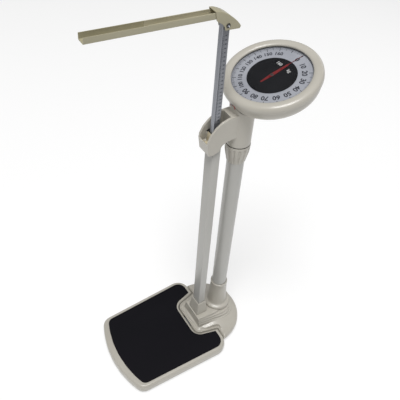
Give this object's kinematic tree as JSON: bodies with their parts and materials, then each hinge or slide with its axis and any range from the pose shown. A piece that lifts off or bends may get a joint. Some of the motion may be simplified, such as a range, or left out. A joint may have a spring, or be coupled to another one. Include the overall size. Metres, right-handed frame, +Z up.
{
  "type": "column weighing scale with dial head and height rod",
  "caption": "Mechanical column scale: lever platform with rubber mat, two uprights, tilted round dial, and a sliding height rod with a folding head arm.",
  "frame": {"origin": "on the floor under the middle of the object's bounding box", "axes": "+Z up, -Y to the front (the side of the platform), +X to the right of someone facing the column from behind the platform's front edge"},
  "size_m": [0.3166, 0.6084, 1.1989],
  "materials": {
    "cream_casing": "glossy",
    "upright_enamel": "satin",
    "pan_enamel": "satin",
    "black_rubber": "matte",
    "steel": "satin",
    "zinc": "satin",
    "brass": "satin",
    "rod_aluminium": "satin",
    "arm_enamel": "satin",
    "black_plastic": "matte",
    "dial_print": "matte",
    "disc_print": "glossy",
    "needle_paint": "satin",
    "dial_glass": "clear",
    "tab_plastic": "matte"
  },
  "bodies": {
    "base": {"base_pan": "pan_enamel", "rear_cover": "cream_casing", "foot_front_left": "black_rubber", "foot_front_right": "black_rubber", "foot_rear_left": "black_rubber", "foot_rear_right": "black_rubber", "front_bearing_left": "steel", "front_bearing_right": "steel", "rear_bearing_left": "steel", "rear_bearing_right": "steel", "tube_socket": "cream_casing", "height_tube": "upright_enamel", "rod_guide": "black_plastic", "column_socket": "cream_casing", "column": "upright_enamel", "collar_nut": "cream_casing", "head_bracket": "cream_casing", "rod_spring_tab": "tab_plastic", "dial_case": "cream_casing", "bezel": "cream_casing", "dial_glass": "dial_glass", "dial_plate": "dial_print", "centre_disc": "disc_print", "movement_plate": "zinc", "case_screw": "steel", "crank_pin": "steel", "main_spring": "steel", "spring_anchor": "zinc"},
    "platform": {"platform": "cream_casing", "platform_mat": "black_rubber", "platform_post_front_left": "steel", "platform_post_front_right": "steel", "platform_post_rear_left": "steel", "platform_post_rear_right": "steel"},
    "long_lever": {"long_lever": "zinc", "long_knife_bar": "steel", "lever_link": "steel"},
    "short_lever": {"short_lever": "zinc", "short_knife_left": "steel", "short_knife_right": "steel"},
    "draw_rod": {"draw_rod": "steel"},
    "bell_crank": {"bell_crank": "zinc"},
    "rack": {"rack": "brass"},
    "pointer": {"pinion": "brass", "pointer": "needle_paint", "pointer_cap": "rod_aluminium"},
    "zero_wheel": {"zero_wheel": "black_plastic"},
    "height_rod": {"height_rod": "rod_aluminium", "rod_cap": "black_plastic", "arm_rivet": "steel", "arm_washer_left": "black_plastic", "arm_washer_right": "black_plastic"},
    "head_arm": {"hood": "arm_enamel", "head_arm": "arm_enamel", "arm_liner": "arm_enamel"}
  },
  "joints": [
    {"name": "platform_press", "type": "slide", "parent": "base", "child": "platform", "axis": [0, 0, -1], "range_m": [0, 0.0025], "stiffness_N_per_m": 50000, "springref_m": -0.0006},
    {"name": "long_lever_pivot", "type": "hinge", "parent": "base", "child": "long_lever", "pos_m": [0, -0.24616, 0.0124], "axis": [-1, 0, 0], "range_deg": [0, 2]},
    {"name": "short_lever_pivot", "type": "hinge", "parent": "base", "child": "short_lever", "pos_m": [0, 0.03384, 0.0204], "axis": [1, 0, 0], "range_deg": [0, 2.2]},
    {"name": "draw_rod_slide", "type": "slide", "parent": "base", "child": "draw_rod", "axis": [0, 0, -1], "range_m": [0, 0.0092]},
    {"name": "bell_crank_pivot", "type": "hinge", "parent": "base", "child": "bell_crank", "pos_m": [0.0107, 0.13044, 0.8966], "axis": [1, 0, 0], "range_deg": [0, 23]},
    {"name": "rack_slide", "type": "slide", "parent": "base", "child": "rack", "axis": [0, -0.9578, -0.2874], "range_m": [0, 0.0172]},
    {"name": "pointer_turn", "type": "hinge", "parent": "base", "child": "pointer", "pos_m": [0, 0.18348, 0.98301], "axis": [0, 0.2874, -0.9578], "range_deg": [0, 330]},
    {"name": "zero_wheel_turn", "type": "hinge", "parent": "base", "child": "zero_wheel", "pos_m": [0, 0.08693, 0.93212], "axis": [0, -0.2874, 0.9578], "range_deg": [-180, 180]},
    {"name": "rod_slide", "type": "slide", "parent": "base", "child": "height_rod", "axis": [0, 0, 1], "range_m": [-0.18, 0.5]},
    {"name": "arm_fold", "type": "hinge", "parent": "height_rod", "child": "head_arm", "pos_m": [0, 0.02904, 1.151], "axis": [1, 0, 0], "range_deg": [0, 80]}
  ],
  "couplings": [
    {"joint": "long_lever_pivot", "follows": "platform_press", "rad_per_m": 10},
    {"joint": "short_lever_pivot", "follows": "platform_press", "rad_per_m": 11.539},
    {"joint": "draw_rod_slide", "follows": "platform_press", "ratio": 3.532},
    {"joint": "bell_crank_pivot", "follows": "platform_press", "rad_per_m": 150.94},
    {"joint": "rack_slide", "follows": "platform_press", "ratio": 6.6414},
    {"joint": "pointer_turn", "follows": "platform_press", "rad_per_m": 2234}
  ]
}
